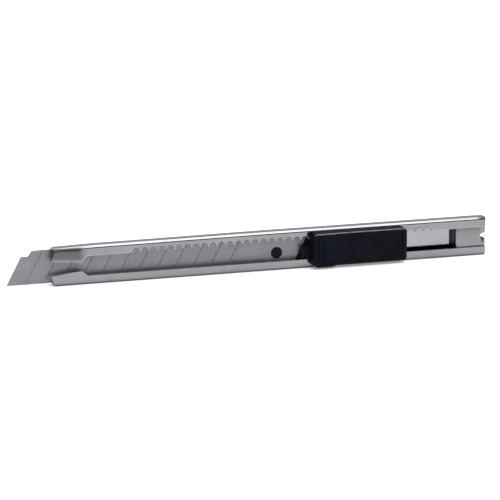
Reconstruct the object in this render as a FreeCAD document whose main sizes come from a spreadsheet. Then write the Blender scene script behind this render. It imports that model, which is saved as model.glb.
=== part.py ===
"""Slim 9 mm snap-off utility knife, in millimetres.

Frame: +X runs from the blade's tip to the rear end, +Z up to the blade's spine, and -Y out of the
slotted face that carries the thumb slide. The origin is the middle of the channel's flat bottom.
"""

import FreeCAD, Part
import os

import Sketcher

App = FreeCAD
doc = App.newDocument("utility_knife")

DIMENSIONS = {
    # folded channel
    "body_length": 123.0,
    "body_height": 10.7,
    "body_depth": 3.8,
    "gauge": 0.5,
    "fold_radius": 0.85,
    "cavity_radius": 0.35,
    # nose, where both lips are pressed in towards the blade
    "nose_length": 7.5,
    "nose_ramp": 3.0,
    "nose_press_low": 0.1,
    "nose_press_high": 0.6,
    "nose_slot_low": 3.85,
    "nose_slot_dip": 0.95,
    "nose_slot_high": 6.65,
    "nose_slot_drop": 0.75,
    "nose_lip_length": 8.4,
    "nose_lip_bevel": 1.6,
    "nose_point": 1.1,
    # slot and its row of scallops
    "slot_low": 2.5,
    "slot_plain": 7.7,
    "slot_high": 7.9,
    "slot_cut_depth": 3.0,
    "scallop_start": 22.1,
    "scallop_pitch": 2.36,
    "scallop_count": 36,
    "scallop_radius": 1.0,
    "scallop_drop": 0.1,
    "scallop_lead": 0.4,
    "web_notch": 2.1,
    "notch_room": 0.1,
    # blade
    "blade_width": 9.0,
    "blade_gauge": 0.38,
    "blade_length": 79.0,
    "blade_front": -70.5,
    "blade_low": 0.6,
    "blade_face": 0.37,
    "blade_slant": 0.532,
    "segment": 5.0,
    "score_count": 12,
    "score_width": 0.16,
    "score_depth": 0.1,
    "bevel_height": 1.0,
    "spine_step": 1.5,
    "spine_step_length": 2.05,
    "tail_hole": 6.85,
    "hole_drop": 0.77,
    "hole_radius": 1.6,
    # carrier
    "stud_radius": 1.45,
    "stud_height": 0.55,
    "tongue_gauge": 0.6,
    "tongue_lead": 2.3,
    "block_face": -0.2,
    "tongue_low": 0.8,
    "tongue_high": 9.4,
    "carrier_rear": 36.6,
    "tail_gap": 0.2,
    "ramp_run": 1.7,
    "ramp_root": 6.0,
    "rail_gap": 0.1,
    "rail_setback": 0.6,
    "neck_clearance": 0.15,
    "boss_front": 14.0,
    "boss_rear": 30.0,
    "boss_low": 3.2,
    "boss_high": 5.9,
    "boss_height": 1.6,
    # lock spring
    "tooth_notch": 25,
    "tooth_radius": 0.65,
    "tooth_height": 1.35,
    "tooth_room": 1.4,
    "leaf_gauge": 0.3,
    "leaf_width": 1.45,
    "leaf_level": 6.95,
    "leaf_inset": 0.05,
    "leaf_rear": 34.0,
    "spring_seat": 31.5,
    "seat_gap": 0.12,
    "spring_drop": 1.05,
    # thumb slide
    "cap_front": 10.45,
    "cap_rear": 37.4,
    "cap_low": 0.75,
    "cap_high": 9.8,
    "cap_depth": 2.85,
    "cap_lift": 0.05,
    "cap_slope": 0.1,
    "cap_corner": 1.1,
    "cap_fillet": 0.45,
    "cap_play": 0.8,
    "band_setback": 0.4,
    "band_length": 6.45,
    "band_height": 0.3,
    "band_drop": 0.3,
    "band_fillet": 0.25,
    "groove_width": 0.55,
    "groove_depth": 0.3,
    "groove_margin": 1.0,
    "groove_start": 1.05,
    "groove_step": 1.5,
    "rear_groove_end": 0.6,
    "rear_groove_step": 1.15,
    "dimple_radius": 0.42,
    "dimple_depth": 0.16,
    "dimple_pitch": 2.6,
    "dimple_row": 2.3,
    # rear strip: blade snapper and pocket clip
    "strip_gauge": 0.4,
    "strip_width": 8.8,
    "strip_low": 0.95,
    "strip_front": 52.9,
    "strip_rear": 61.85,
    "strip_gap": 0.05,
    "bend_radius": 1.8,
    "flange_radius": 0.8,
    "snap_height": 1.4,
    "snap_length": 1.6,
    "snap_level": 5.3,
    "clip_width": 6.0,
    "clip_shoulder": 50.5,
    "clip_rise": 1.0,
    "clip_rise_front": 47.0,
    "clip_fall": 24.0,
    "clip_touch": 20.5,
    "clip_tip": 17.0,
    "clip_flare": 1.1,
    "clip_corner": 1.0,
    "clip_neck": 2.0,
    "overcut": 1.0,
}

sheet = doc.addObject("Spreadsheet::Sheet", "Dimensions")
for row, (alias, size) in enumerate(DIMENSIONS.items(), start=1):
    sheet.set(f"A{row}", alias)
    sheet.set(f"B{row}", str(size))
    sheet.setAlias(f"B{row}", alias)
doc.recompute()


def formula(text):
    """Writes a formula of plain aliases as one that an object can be bound to."""
    words = []
    for word in text.replace("(", " ( ").replace(")", " ) ").split():
        words.append(f"Dimensions.{word}" if word in DIMENSIONS else word)
    return " ".join(words)


def value(text):
    return float(sheet.evalExpression(formula(text)))


# Levels that several pieces share, as formulas of the sheet's aliases
FRONT = "( 0 - body_length / 2 )"
REAR = "( body_length / 2 )"
FACE = "( 0 - body_depth / 2 )"
BACK = "( body_depth / 2 )"
WEB = f"( {BACK} - gauge )"
LIP = f"( {FACE} + gauge )"
NOSE_END = f"( {FRONT} + nose_length )"
RAMP_END = f"( {NOSE_END} + nose_ramp )"
BLADE_BACK = "( blade_face + blade_gauge )"
BLADE_MIDDLE = "( blade_low + blade_width / 2 )"
BLADE_TAIL = "( blade_front + blade_length )"
HOLE = f"( {BLADE_TAIL} - tail_hole )"
HOLE_LEVEL = f"( {BLADE_MIDDLE} - hole_drop )"
TOOTH = f"( {FRONT} + scallop_start + ( tooth_notch + 0.5 ) * scallop_pitch )"
CAP_FACE = f"( {FACE} - cap_lift - cap_depth )"
BAND_REAR = "( cap_front + cap_slope + band_length )"
SLIDE_LOW = "( slot_low + neck_clearance )"
SLIDE_HIGH = "( slot_high - 2 * neck_clearance )"


def new_body(label):
    body = doc.addObject("PartDesign::Body", label)
    body.Label = label
    return body


def new_sketch(body, name, plane, level):
    """A sketch on one of the body's origin planes, moved along the plane's normal to a level."""
    sketch = body.newObject("Sketcher::SketchObject", f"{body.Name}_{name}")
    support = [f for f in body.Origin.OriginFeatures if f.Role == plane][0]
    sketch.AttachmentSupport = [(support, "")]
    sketch.MapMode = "FlatFace"
    sketch.setExpression("AttachmentOffset.Base.z", formula(level))
    doc.recompute()
    return sketch


def bind(sketch, kind, *references, size):
    index = sketch.addConstraint(Sketcher.Constraint(kind, *references, value(size)))
    sketch.setExpression(f"Constraints[{index}]", formula(size))


def pin_point(sketch, geometry, end, across, up):
    """Ties a point of the sketch to its two coordinates."""
    bind(sketch, "DistanceX", -1, 1, geometry, end, size=across)
    bind(sketch, "DistanceY", -1, 1, geometry, end, size=up)


def polygon(sketch, corners):
    """A closed outline of straight lines; each corner is a pair of formulas."""
    first = sketch.GeometryCount
    points = [App.Vector(value(across), value(up), 0) for across, up in corners]
    for start, end in zip(points, points[1:] + points[:1]):
        sketch.addGeometry(Part.LineSegment(start, end), False)
    for i in range(len(points)):
        following = first + (i + 1) % len(points)
        sketch.addConstraint(Sketcher.Constraint("Coincident", first + i, 2, following, 1))
    for i, (across, up) in enumerate(corners):
        pin_point(sketch, first + i, 1, across, up)


def rectangle(sketch, left, right, low, high):
    polygon(sketch, [(left, low), (right, low), (right, high), (left, high)])


def circle(sketch, across, up, radius):
    centre = App.Vector(value(across), value(up), 0)
    index = sketch.addGeometry(Part.Circle(centre, App.Vector(0, 0, 1), value(radius)), False)
    pin_point(sketch, index, 3, across, up)
    bind(sketch, "Radius", index, size=radius)


def rounded_rectangle(sketch, left, right, low, high, radius):
    """A rectangle with four equal round corners: lines and arcs in turn, tangent all the way round."""
    x0, x1, y0, y1, r = [value(text) for text in (left, right, low, high, radius)]
    centres = [(x1 - r, y0 + r), (x1 - r, y1 - r), (x0 + r, y1 - r), (x0 + r, y0 + r)]
    ends = [
        ((x0 + r, y0), (x1 - r, y0)),
        ((x1, y0 + r), (x1, y1 - r)),
        ((x1 - r, y1), (x0 + r, y1)),
        ((x0, y1 - r), (x0, y0 + r)),
    ]
    quarter = 1.5707963267948966
    for side in range(4):
        start, end = [App.Vector(*point, 0) for point in ends[side]]
        sketch.addGeometry(Part.LineSegment(start, end), False)
        corner = Part.Circle(App.Vector(*centres[side], 0), App.Vector(0, 0, 1), r)
        sketch.addGeometry(Part.ArcOfCircle(corner, quarter * (side - 1), quarter * side), False)
    for side in range(4):
        line, arc, following = 2 * side, 2 * side + 1, (2 * side + 2) % 8
        sketch.addConstraint(Sketcher.Constraint("Tangent", line, 2, arc, 1))
        sketch.addConstraint(Sketcher.Constraint("Tangent", arc, 2, following, 1))
        direction = "Horizontal" if side % 2 == 0 else "Vertical"
        sketch.addConstraint(Sketcher.Constraint(direction, line))
    for arc in (3, 5, 7):
        sketch.addConstraint(Sketcher.Constraint("Equal", 1, arc))
    bind(sketch, "Radius", 1, size=radius)
    bind(sketch, "DistanceY", -1, 1, 0, 1, size=low)
    bind(sketch, "DistanceX", -1, 1, 2, 1, size=right)
    bind(sketch, "DistanceY", -1, 1, 4, 1, size=high)
    bind(sketch, "DistanceX", -1, 1, 6, 1, size=left)


def grow(body, kind, name, sketch, length, reverse=False):
    """A Pad or a Pocket of the sketch; a Pocket has to take material away."""
    before = body.Shape.Volume if body.Tip else 0.0
    feature = body.newObject(f"PartDesign::{kind}", f"{body.Name}_{name}")
    feature.Profile = sketch
    feature.setExpression("Length", formula(length))
    feature.Reversed = reverse
    doc.recompute()
    change = body.Shape.Volume - before
    if (change > 0) != (kind == "Pad"):
        raise RuntimeError(f"{feature.Name} changed the volume by {change:.4f}")
    return feature


def pad_across(body, name, draw, near, far):
    """Pads an outline in X and Z from the depth far towards the face, to the depth near."""
    sketch = new_sketch(body, f"{name}_outline", "XZ_Plane", f"0 - ( {far} )")
    draw(sketch)
    return grow(body, "Pad", name, sketch, f"( {far} ) - ( {near} )")


def cut_across(body, name, draw, near, far):
    """Cuts an outline in X and Z from the depth near towards the back, to the depth far."""
    sketch = new_sketch(body, f"{name}_outline", "XZ_Plane", f"0 - ( {near} )")
    draw(sketch)
    return grow(body, "Pocket", name, sketch, f"( {far} ) - ( {near} )")


def pad_along(body, name, draw, start, end):
    """Pads an outline in Y and Z from start to end along X."""
    sketch = new_sketch(body, f"{name}_outline", "YZ_Plane", start)
    draw(sketch)
    return grow(body, "Pad", name, sketch, f"{end} - {start}")


def cut_along(body, name, draw, start, end):
    """Cuts an outline in Y and Z from start to end along X."""
    sketch = new_sketch(body, f"{name}_outline", "YZ_Plane", start)
    draw(sketch)
    return grow(body, "Pocket", name, sketch, f"{end} - {start}", reverse=True)


def loft(body, kind, name, sections):
    """Joins two outlines in Y and Z, each given with its place along X."""
    sketches = []
    for i, (draw, place) in enumerate(sections):
        sketch = new_sketch(body, f"{name}_section_{i}", "YZ_Plane", place)
        draw(sketch)
        sketches.append(sketch)
    feature = body.newObject(f"PartDesign::{kind}", f"{body.Name}_{name}")
    feature.Profile = sketches[0]
    feature.Sections = sketches[1:]
    feature.Ruled = True
    doc.recompute()
    return feature


def repeat(body, feature, count, spacing):
    """Repeats a feature along X: the spacing is between neighbours."""
    pattern = body.newObject("PartDesign::LinearPattern", f"{feature.Name}_row")
    axis = [f for f in body.Origin.OriginFeatures if f.Role == "X_Axis"][0]
    pattern.Originals = [feature]
    pattern.Direction = (axis, [""])
    pattern.setExpression("Occurrences", formula(count))
    pattern.setExpression("Length", formula(f"( {count} - 1 ) * {spacing}"))
    body.Tip = pattern
    doc.recompute()
    return pattern


def round_edges(body, name, radius, chosen):
    """Fillets the edges of the body's tip that the test picks by their middle and direction."""
    base = body.Tip
    names = []
    for i, edge in enumerate(base.Shape.Edges, start=1):
        middle = edge.valueAt((edge.FirstParameter + edge.LastParameter) / 2)
        direction = edge.tangentAt((edge.FirstParameter + edge.LastParameter) / 2)
        if chosen(middle, direction):
            names.append(f"Edge{i}")
    if not names:
        raise RuntimeError(f"{body.Name} has no edge for {name}")
    feature = body.newObject("PartDesign::Fillet", f"{body.Name}_{name}")
    feature.Base = (base, names)
    feature.setExpression("Radius", formula(radius))
    doc.recompute()
    return feature


def make_nose_lip(body, side, fold, edge, press):
    """One lip of the nose: it leans in from its fold to its edge, and eases back to the flat lip."""

    def leaning(sketch):
        pressed = f"( {FACE} + {press} )"
        polygon(sketch, [(FACE, fold), (pressed, edge), (f"( {pressed} + gauge )", edge), (LIP, fold)])

    def flat(sketch):
        polygon(sketch, [(FACE, fold), (FACE, edge), (LIP, edge), (LIP, fold)])

    pad_along(body, f"nose_lip_{side}", leaning, FRONT, NOSE_END)
    loft(body, "AdditiveLoft", f"nose_ease_{side}", [(leaning, NOSE_END), (flat, RAMP_END)])


def make_channel():
    """The folded steel channel: round folds, a nose with pressed-in lips, and a slot along its face."""
    body = new_body("body_channel")

    def outside(sketch):
        rounded_rectangle(sketch, FACE, BACK, "0", "body_height", "fold_radius")

    def inside(sketch):
        top = "( body_height - gauge )"
        rounded_rectangle(sketch, LIP, WEB, "gauge", top, "cavity_radius")

    pad_along(body, "barrel", outside, FRONT, REAR)
    cut_along(body, "cavity", inside, FRONT, REAR)

    fold_top = "( body_height - fold_radius )"

    def nose_gap(sketch):
        rectangle(sketch, FACE, LIP, "fold_radius", fold_top)

    cut_along(body, "nose_gap", nose_gap, FRONT, RAMP_END)
    nose_waist_high = "( nose_slot_high - nose_slot_drop )"
    make_nose_lip(body, "low", "fold_radius", "nose_slot_low", "nose_press_low")
    make_nose_lip(body, "high", fold_top, nose_waist_high, "nose_press_high")

    nose_lip = f"( {FRONT} + nose_lip_length )"
    nose_mouth_low = "( nose_slot_low - nose_slot_dip )"
    bevel_end = f"( {nose_lip} + nose_lip_bevel )"
    scallops = f"( {FRONT} + scallop_start )"

    def slot(sketch):
        corners = [
            (FRONT, nose_mouth_low),
            (nose_lip, "nose_slot_low"),
            (bevel_end, "slot_low"),
            (REAR, "slot_low"),
            (REAR, "slot_high"),
            (scallops, "slot_high"),
            (f"( {scallops} - scallop_lead )", "slot_plain"),
            (bevel_end, "slot_plain"),
            (nose_lip, nose_waist_high),
            (FRONT, "nose_slot_high"),
        ]
        polygon(sketch, corners)

    slot_end = f"( {FACE} + slot_cut_depth )"
    cut_across(body, "slot", slot, FACE, slot_end)

    def first_scallop(sketch):
        place = f"( {scallops} + scallop_pitch / 2 )"
        circle(sketch, place, "( slot_high - scallop_drop )", "scallop_radius")

    scallop = cut_across(body, "scallop", first_scallop, FACE, slot_end)
    repeat(body, scallop, "scallop_count", "scallop_pitch")

    def nose_point(sketch):
        polygon(sketch, [(FRONT, "0"), (f"( {FRONT} + nose_point )", "0"), (FRONT, nose_mouth_low)])
        top = [(FRONT, "body_height"), (FRONT, "nose_slot_high")]
        polygon(sketch, [*top, (f"( {FRONT} + nose_point )", "body_height")])

    cut_across(body, "nose_point", nose_point, FACE, BACK)

    def web_notch(sketch):
        low = "( strip_low - notch_room )"
        high = "( strip_low + strip_width + notch_room )"
        rectangle(sketch, f"( {REAR} - web_notch )", REAR, low, high)

    cut_across(body, "web_notch", web_notch, f"( {WEB} - cavity_radius )", BACK)
    return body


def make_blade():
    """The snap-off blade: slanted ends, a cropped spine corner, score lines, a bevel and a tail hole."""
    body = new_body("blade")
    top = "( blade_low + blade_width )"

    def slanted(middle, level):
        """The X of a line along the slant, at a height."""
        return f"( {middle} + ( {level} - {BLADE_MIDDLE} ) * blade_slant )"

    step = f"( {top} - spine_step )"
    step_front = slanted("blade_front", step)
    step_rear = f"( {step_front} + spine_step_length )"

    def outline(sketch):
        corners = [
            (slanted("blade_front", "blade_low"), "blade_low"),
            (slanted(BLADE_TAIL, "blade_low"), "blade_low"),
            (slanted(BLADE_TAIL, top), top),
            (f"( {step_rear} + spine_step * blade_slant )", top),
            (step_rear, step),
            (step_front, step),
        ]
        polygon(sketch, corners)

    pad_across(body, "plate", outline, "blade_face", BLADE_BACK)

    def edge_bevels(sketch):
        middle = "( blade_face + blade_gauge / 2 )"
        high = "( blade_low + bevel_height )"
        polygon(sketch, [("blade_face", "blade_low"), (middle, "blade_low"), ("blade_face", high)])
        polygon(sketch, [(BLADE_BACK, "blade_low"), (middle, "blade_low"), (BLADE_BACK, high)])

    cut_along(body, "edge", edge_bevels, "( blade_front - segment )", f"( {BLADE_TAIL} + segment )")

    def tail_hole(sketch):
        circle(sketch, HOLE, HOLE_LEVEL, "hole_radius")

    cut_across(body, "tail_hole", tail_hole, "blade_face", BLADE_BACK)

    def first_score(sketch):
        middle = "( blade_front + segment )"
        low = slanted(middle, "blade_low")
        high = slanted(middle, top)
        half = "score_width / 2"
        corners = [
            (f"( {low} - {half} )", "blade_low"),
            (f"( {low} + {half} )", "blade_low"),
            (f"( {high} + {half} )", top),
            (f"( {high} - {half} )", top),
        ]
        polygon(sketch, corners)

    score = cut_across(body, "score", first_score, "blade_face", "( blade_face + score_depth )")
    repeat(body, score, "score_count", "segment")
    return body


def make_carrier():
    """The moulded slide in the channel: tongue and stud under the blade, block, ramp and neck behind."""
    body = new_body("blade_carrier")
    tongue_face = BLADE_BACK
    tongue_back = f"( {BLADE_BACK} + tongue_gauge )"

    def tongue(sketch):
        rectangle(sketch, f"( {HOLE} - tongue_lead )", "carrier_rear", "tongue_low", "tongue_high")

    pad_across(body, "tongue", tongue, tongue_face, tongue_back)

    def stud_disc(sketch):
        circle(sketch, HOLE, HOLE_LEVEL, "stud_radius")

    pad_across(body, "stud", stud_disc, f"( {BLADE_BACK} - stud_height )", tongue_face)

    def behind_tail(level, gap):
        return f"( {BLADE_TAIL} + {gap} + ( {level} - {BLADE_MIDDLE} ) * blade_slant )"

    def block(sketch):
        corners = [
            (behind_tail("tongue_low", "tail_gap"), "tongue_low"),
            ("carrier_rear", "tongue_low"),
            ("carrier_rear", "tongue_high"),
            (behind_tail("tongue_high", "tail_gap"), "tongue_high"),
        ]
        polygon(sketch, corners)

    pad_across(body, "block", block, "block_face", tongue_face)

    def rear_block(sketch):
        start = behind_tail("tongue_low", "( tail_gap + ramp_run )")
        rear = "( carrier_rear - rail_setback )"
        rectangle(sketch, start, rear, "tongue_low", "( leaf_level - spring_drop )")

    pad_across(body, "rails", rear_block, f"( {LIP} + rail_gap )", "block_face")

    def neck(sketch):
        rear = "( carrier_rear - rail_setback )"
        spring_well = f"( {TOOTH} - tooth_room )"
        corners = [
            (behind_tail(SLIDE_LOW, "( tail_gap + ramp_run )"), SLIDE_LOW),
            (rear, SLIDE_LOW),
            (rear, "( leaf_level - spring_drop )"),
            (spring_well, "( leaf_level - spring_drop )"),
            (spring_well, SLIDE_HIGH),
            (behind_tail(SLIDE_HIGH, "( tail_gap + ramp_run )"), SLIDE_HIGH),
        ]
        polygon(sketch, corners)

    pad_across(body, "neck", neck, FACE, "block_face")

    def ramp_profile(sketch):
        """The slope from the blade's level up to the lips, in X and Y."""
        low = behind_tail(SLIDE_LOW, "tail_gap")
        back = f"( {low} + ramp_root )"
        top = f"( {low} + ramp_run )"
        polygon(sketch, [(low, "block_face"), (back, "block_face"), (back, FACE), (top, FACE)])

    sketch = new_sketch(body, "ramp_outline", "XY_Plane", SLIDE_LOW)
    ramp_profile(sketch)
    grow(body, "Pad", "ramp", sketch, f"{SLIDE_HIGH} - {SLIDE_LOW}")

    def ramp_trim(sketch):
        """Lays the ramp's front back along the slant of the blade's tail."""
        low = behind_tail("slot_low", "tail_gap")
        high = behind_tail("slot_high", "tail_gap")
        ahead = f"( {low} - ramp_root )"
        corners = [
            (ahead, "slot_low"),
            (low, "slot_low"),
            (high, "slot_high"),
            (ahead, "slot_high"),
        ]
        polygon(sketch, corners)

    cut_across(body, "ramp_trim", ramp_trim, FACE, "block_face")

    def spring_seat(sketch):
        """A ledge under the leaf's rear end and a bar over it."""
        rear = "( carrier_rear - 2 * rail_setback )"
        ledge = "( leaf_level - spring_drop )"
        rectangle(sketch, "spring_seat", rear, ledge, "( leaf_level - seat_gap )")
        rectangle(sketch, "spring_seat", rear, "( leaf_level + leaf_gauge + seat_gap )", SLIDE_HIGH)

    pad_across(body, "spring_seat", spring_seat, FACE, "block_face")

    def boss(sketch):
        rectangle(sketch, "boss_front", "boss_rear", "boss_low", "boss_high")

    pad_across(body, "boss", boss, f"( {FACE} - boss_height )", FACE)
    return body


def make_lock_spring():
    """The leaf spring: anchored at its rear end, with a rounded tooth that rests in a scallop."""
    body = new_body("lock_spring")
    near = f"( {FACE} + leaf_inset )"
    far = f"( {near} + leaf_width )"

    def leaf(sketch):
        front = f"( {TOOTH} - tooth_radius )"
        rectangle(sketch, front, "leaf_rear", "leaf_level", "( leaf_level + leaf_gauge )")

    pad_across(body, "leaf", leaf, near, far)
    crown = "( leaf_level + leaf_gauge + tooth_height - tooth_radius )"

    def tooth_root(sketch):
        left = f"( {TOOTH} - tooth_radius )"
        right = f"( {TOOTH} + tooth_radius )"
        rectangle(sketch, left, right, "( leaf_level + leaf_gauge )", crown)

    pad_across(body, "tooth_root", tooth_root, near, far)

    def tooth_crown(sketch):
        circle(sketch, TOOTH, crown, "tooth_radius")

    pad_across(body, "tooth_crown", tooth_crown, near, far)
    return body


def make_cap():
    """The thumb slide: a rounded block whose front leans back a little, with a band, grooves and dimples."""
    body = new_body("slider_cap")
    under = f"( {FACE} - cap_lift )"

    def outline(sketch):
        rounded_rectangle(sketch, "cap_front", "cap_rear", "cap_low", "cap_high", "cap_corner")

    pad_across(body, "block", outline, CAP_FACE, under)

    def on_level(level):
        return lambda middle, direction: abs(middle.y - value(level)) < 1e-4 and abs(direction.y) < 1e-6

    round_edges(body, "rim", "cap_fillet", on_level(CAP_FACE))
    near = f"( {CAP_FACE} - band_height )"

    def band(sketch):
        front = "( cap_front + band_setback )"
        rounded_rectangle(sketch, front, BAND_REAR, "( cap_low - band_drop )", "cap_high", "cap_corner")

    pad_across(body, "band", band, near, under)
    round_edges(body, "band_rim", "band_fillet", on_level(near))

    slope = new_sketch(body, "slope_outline", "XY_Plane", "0")
    ahead = "( cap_front - cap_slope )"
    crest = "( cap_front + cap_slope )"
    polygon(slope, [("cap_front", under), (ahead, under), (ahead, near), (crest, near)])
    grow(body, "Pocket", "slope", slope, "body_height", reverse=True)

    groove_low = "( cap_low + groove_margin )"
    groove_high = "( cap_high - groove_margin )"

    def front_grooves(sketch):
        for step in (0, 1):
            place = f"( {crest} + groove_start + {step} * groove_step )"
            rectangle(sketch, place, f"( {place} + groove_width )", groove_low, groove_high)

    cut_across(body, "front_grooves", front_grooves, near, f"( {near} + groove_depth )")

    def rear_grooves(sketch):
        for step in (1, 2, 3):
            place = f"( cap_rear - rear_groove_end - {step} * rear_groove_step )"
            rectangle(sketch, place, f"( {place} + groove_width )", groove_low, groove_high)

    cut_across(body, "rear_grooves", rear_grooves, CAP_FACE, f"( {CAP_FACE} + groove_depth )")

    def dimples(sketch):
        """Three rows of small dimples; the middle row is set half a pitch along."""
        middle = "( ( cap_low + cap_high ) / 2 )"
        start = f"( {BAND_REAR} + dimple_pitch / 2 )"
        for line, count, shift in ((-1, 6, 0), (0, 5, 0.5), (1, 6, 0)):
            for step in range(count):
                place = f"( {start} + ( {step} + {shift} ) * dimple_pitch )"
                circle(sketch, place, f"( {middle} + {line} * dimple_row )", "dimple_radius")

    cut_across(body, "dimples", dimples, CAP_FACE, f"( {CAP_FACE} + dimple_depth )")

    def boss_pocket(sketch):
        left = "( boss_front - cap_play )"
        right = "( boss_rear + cap_play )"
        rectangle(sketch, left, right, "( boss_low - neck_clearance )", "( boss_high + neck_clearance )")

    cut_across(body, "boss_pocket", boss_pocket, f"( {FACE} - boss_height - neck_clearance )", under)
    return body


def make_clip():
    """The rear strip: a flange and a plate in the channel, a bend round its end, and the pocket clip."""
    body = new_body("clip_snapper")
    near = f"( {LIP} + strip_gap )"
    plate = f"( {near} + strip_gauge )"
    flange_end = f"( {WEB} - strip_gap )"
    leg = f"( {BACK} + strip_gap )"
    leg_back = f"( {leg} + strip_gauge )"
    raised = f"( {leg} + clip_rise )"
    raised_back = f"( {leg_back} + clip_rise )"
    tip = f"( {leg} + clip_flare )"
    tip_back = f"( {leg_back} + clip_flare )"
    bend_inside = "( strip_rear - strip_gauge )"

    sketch = new_sketch(body, "profile", "XY_Plane", "strip_low")
    inner_side = [
        ("strip_front", flange_end),
        ("( strip_front + strip_gauge )", flange_end),
        ("( strip_front + strip_gauge )", plate),
        (bend_inside, plate),
        (bend_inside, leg),
        ("clip_shoulder", leg),
        ("clip_rise_front", raised),
        ("clip_fall", raised),
        ("clip_touch", leg),
        ("clip_tip", tip),
    ]
    outer_side = [
        ("clip_tip", tip_back),
        ("clip_touch", leg_back),
        ("clip_fall", raised_back),
        ("clip_rise_front", raised_back),
        ("clip_shoulder", leg_back),
        ("strip_rear", leg_back),
        ("strip_rear", near),
        ("strip_front", near),
    ]
    polygon(sketch, inner_side + outer_side)
    grow(body, "Pad", "strip", sketch, "strip_width")

    def at(x, y):
        place = App.Vector(value(x), value(y), 0)

        def chosen(middle, direction):
            flat = App.Vector(middle.x, middle.y, 0)
            return abs(direction.z) > 0.999 and flat.distanceToPoint(place) < 1e-4

        return chosen

    def any_of(*tests):
        return lambda middle, direction: any(test(middle, direction) for test in tests)

    bend_outer = any_of(at("strip_rear", leg_back), at("strip_rear", near))
    bend_inner = any_of(at(bend_inside, leg), at(bend_inside, plate))
    round_edges(body, "bend_inside", "( bend_radius - strip_gauge )", bend_inner)
    round_edges(body, "bend", "bend_radius", bend_outer)
    round_edges(body, "flange_bend", "flange_radius", at("strip_front", near))
    flange_inside = at("( strip_front + strip_gauge )", plate)
    round_edges(body, "flange_inside", "( flange_radius - strip_gauge )", flange_inside)
    soft_bends = [
        ("clip_rise_front", raised_back),
        ("clip_fall", raised_back),
        ("clip_touch", leg),
        ("clip_shoulder", leg),
    ]
    round_edges(body, "clip_bends", "clip_rise", any_of(*[at(x, y) for x, y in soft_bends]))

    def clip_sides(sketch):
        front = "( clip_tip - overcut )"
        shoulder = "( clip_shoulder + clip_neck )"
        low = "( body_height / 2 - clip_width / 2 )"
        high = "( body_height / 2 + clip_width / 2 )"
        rectangle(sketch, front, shoulder, "0", low)
        rectangle(sketch, front, shoulder, high, "body_height")

    cut_across(body, "clip_sides", clip_sides, BACK, f"( {raised_back} + overcut )")

    def clip_corner(middle, direction):
        at_tip = abs(middle.x - value("clip_tip")) < value("strip_gauge")
        return at_tip and abs(direction.z) < 1e-6 and abs(direction.y) > 0.9

    round_edges(body, "clip_tip", "clip_corner", clip_corner)

    def snap_notch(sketch):
        half = "( snap_height / 2 )"
        start = "( strip_rear - snap_length )"
        end = "( strip_rear + overcut )"
        rectangle(sketch, start, end, f"( snap_level - {half} )", f"( snap_level + {half} )")

    cut_across(body, "snap_notch", snap_notch, f"( {near} - overcut )", f"( {leg_back} + overcut )")
    return body


pieces = [make_channel(), make_blade(), make_carrier(), make_lock_spring(), make_cap(), make_clip()]
doc.recompute()

for item in doc.Objects:
    if "Invalid" in item.State or "Error" in item.State:
        raise RuntimeError(f"{item.Name} failed: {item.State}")
for piece in pieces:
    if piece.Shape.isNull() or not piece.Shape.isValid() or len(piece.Shape.Solids) != 1:
        raise RuntimeError(f"{piece.Label} isn't one valid solid")

os.makedirs("parts", exist_ok=True)
for piece in pieces:
    piece.Shape.exportStep(f"parts/{piece.Label}.step")
    box = piece.Shape.BoundBox
    print(f"{piece.Label}: {piece.Shape.Volume:.2f} mm3, x {box.XMin:.2f}..{box.XMax:.2f}, "
          f"y {box.YMin:.2f}..{box.YMax:.2f}, z {box.ZMin:.2f}..{box.ZMax:.2f}")
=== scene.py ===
"""Looks of a slim snap-off utility knife, built around its CAD frame.

Lengths are in millimetres in the CAD frame: +X from the blade's tip to the rear end, +Z up to the spine,
-Y out of the slotted face. They turn into metres where a mesh or the camera is made. The floor, the card
and the lights are placed in metres.
"""

import math

import bmesh
import bpy
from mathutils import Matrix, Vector


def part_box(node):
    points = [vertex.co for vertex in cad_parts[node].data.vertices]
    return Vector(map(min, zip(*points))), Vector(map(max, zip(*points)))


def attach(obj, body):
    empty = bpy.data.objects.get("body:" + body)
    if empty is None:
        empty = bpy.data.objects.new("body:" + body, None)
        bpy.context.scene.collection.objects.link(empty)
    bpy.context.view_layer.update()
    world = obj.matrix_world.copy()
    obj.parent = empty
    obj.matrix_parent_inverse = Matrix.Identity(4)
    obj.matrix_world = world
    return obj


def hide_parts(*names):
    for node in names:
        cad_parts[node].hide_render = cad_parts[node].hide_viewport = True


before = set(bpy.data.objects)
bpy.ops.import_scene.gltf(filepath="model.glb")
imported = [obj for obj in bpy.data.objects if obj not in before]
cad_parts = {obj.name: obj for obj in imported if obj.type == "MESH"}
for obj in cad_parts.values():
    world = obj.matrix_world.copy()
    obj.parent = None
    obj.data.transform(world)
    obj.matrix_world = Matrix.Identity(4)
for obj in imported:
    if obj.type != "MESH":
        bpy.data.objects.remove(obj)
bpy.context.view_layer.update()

MM = 0.001


def cad_box(node):
    """The lowest and the highest corner of a CAD node, in millimetres."""
    low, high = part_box(node)
    return low / MM, high / MM


# ---------------------------------------------------------------- levels taken from the frame

CHANNEL_LOW, CHANNEL_HIGH = cad_box("body_channel")
FRONT, FACE = CHANNEL_LOW.x, CHANNEL_LOW.y
REAR, BACK, TOP = CHANNEL_HIGH
BLADE_LOW, BLADE_HIGH = cad_box("blade")
CARRIER_LOW, CARRIER_HIGH = cad_box("blade_carrier")
CAP_LOW = cad_box("slider_cap")[0]
CLIP_LOW, CLIP_HIGH = cad_box("clip_snapper")
LEAF_LOW, LEAF_HIGH = cad_box("lock_spring")

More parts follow.
